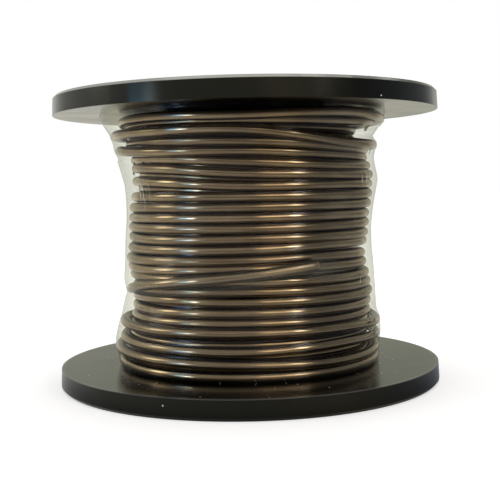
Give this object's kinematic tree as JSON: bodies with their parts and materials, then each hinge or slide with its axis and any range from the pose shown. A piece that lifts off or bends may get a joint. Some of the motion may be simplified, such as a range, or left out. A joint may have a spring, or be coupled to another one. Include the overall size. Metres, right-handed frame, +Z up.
{
  "type": "reel of copper wire",
  "caption": "Flanged plastic reel wound with thick copper wire in level layers, cut end laid over the pack, held by clear film.",
  "frame": {"origin": "centre of the foot, on the axis of the bore, at the lower rim's resting face", "axes": "+Z up along the bore; -Y towards the side where the cut end of the wire shows"},
  "size_m": [0.08, 0.08, 0.06],
  "materials": {
    "reel_plastic": "black, satin gloss as moulded",
    "copper_wire": "bronze-brown copper, drawn and lacquered",
    "clear_film": "clear thin film, stretched"
  },
  "bodies": {
    "root": {"reel": "reel_plastic", "wire": "copper_wire", "film_wrap": "clear_film"}
  },
  "joints": []
}
